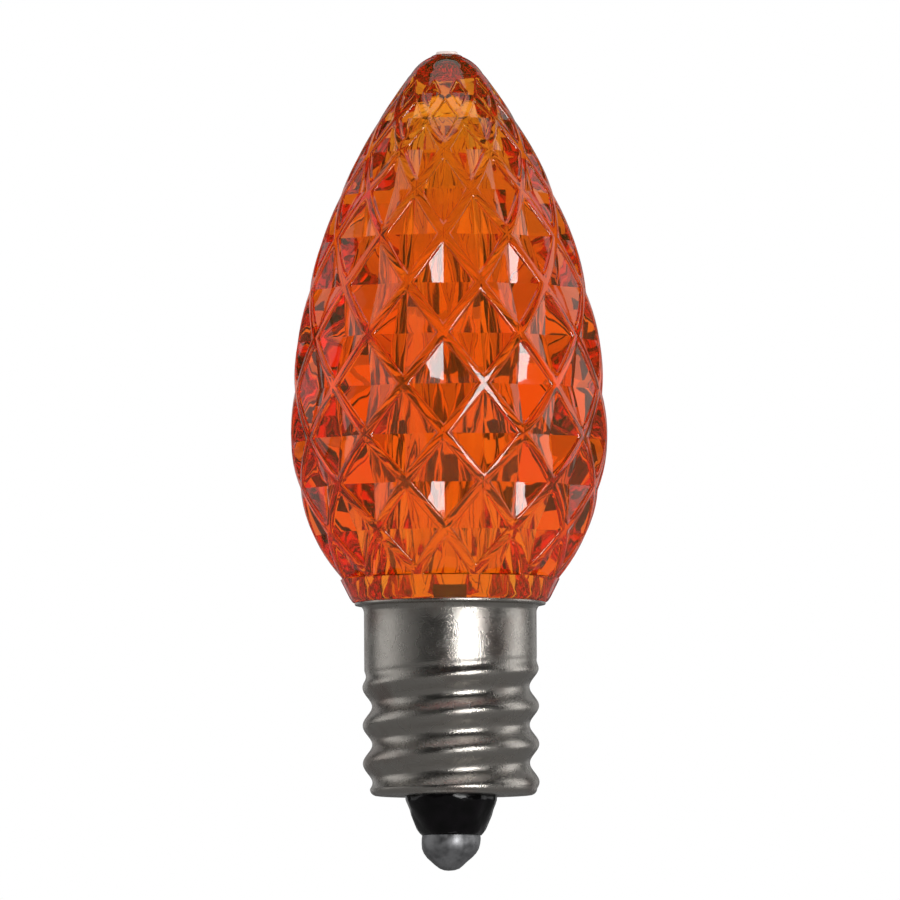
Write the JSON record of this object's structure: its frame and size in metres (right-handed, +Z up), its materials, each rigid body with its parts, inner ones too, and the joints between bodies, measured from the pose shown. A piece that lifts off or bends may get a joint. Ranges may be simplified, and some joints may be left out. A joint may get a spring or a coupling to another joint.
{
  "type": "christmas light bulb",
  "caption": "Upright faceted amber decorative LED bulb with a candelabra screw base, moulded diamond-lattice lens and soldered centre contact.",
  "frame": {"origin": "lowest point of the soldered centre contact, on the axis of the bulb", "axes": "+Z up the axis of the bulb from the contact to the tip of the lens; -Y is the side the picture shows"},
  "size_m": [0.021, 0.021, 0.0547],
  "materials": {
    "amber_plastic": "clear tinted polycarbonate, polished",
    "nickel_plate": "bright nickel plate on brass",
    "black_insulator": "black glass, glossy",
    "eyelet_brass": "satin",
    "solder": "dull solder",
    "sealant": "translucent silicone",
    "board_laminate": "white solder mask",
    "led_package": "satin",
    "black_moulding": "matte",
    "resistor_coat": "satin",
    "tinned_wire": "satin"
  },
  "bodies": {
    "root": {"lens": "amber_plastic", "screw_shell": "nickel_plate", "insulator": "black_insulator", "contact_eyelet": "eyelet_brass", "solder_tip": "solder", "seal_bead": "sealant", "circuit_board": "board_laminate", "led_right": "led_package", "led_back": "led_package", "led_left": "led_package", "led_front": "led_package", "bridge_rectifier": "black_moulding", "chip_resistor": "black_moulding", "dropping_resistor": "resistor_coat", "shell_lead": "tinned_wire"}
  },
  "joints": []
}
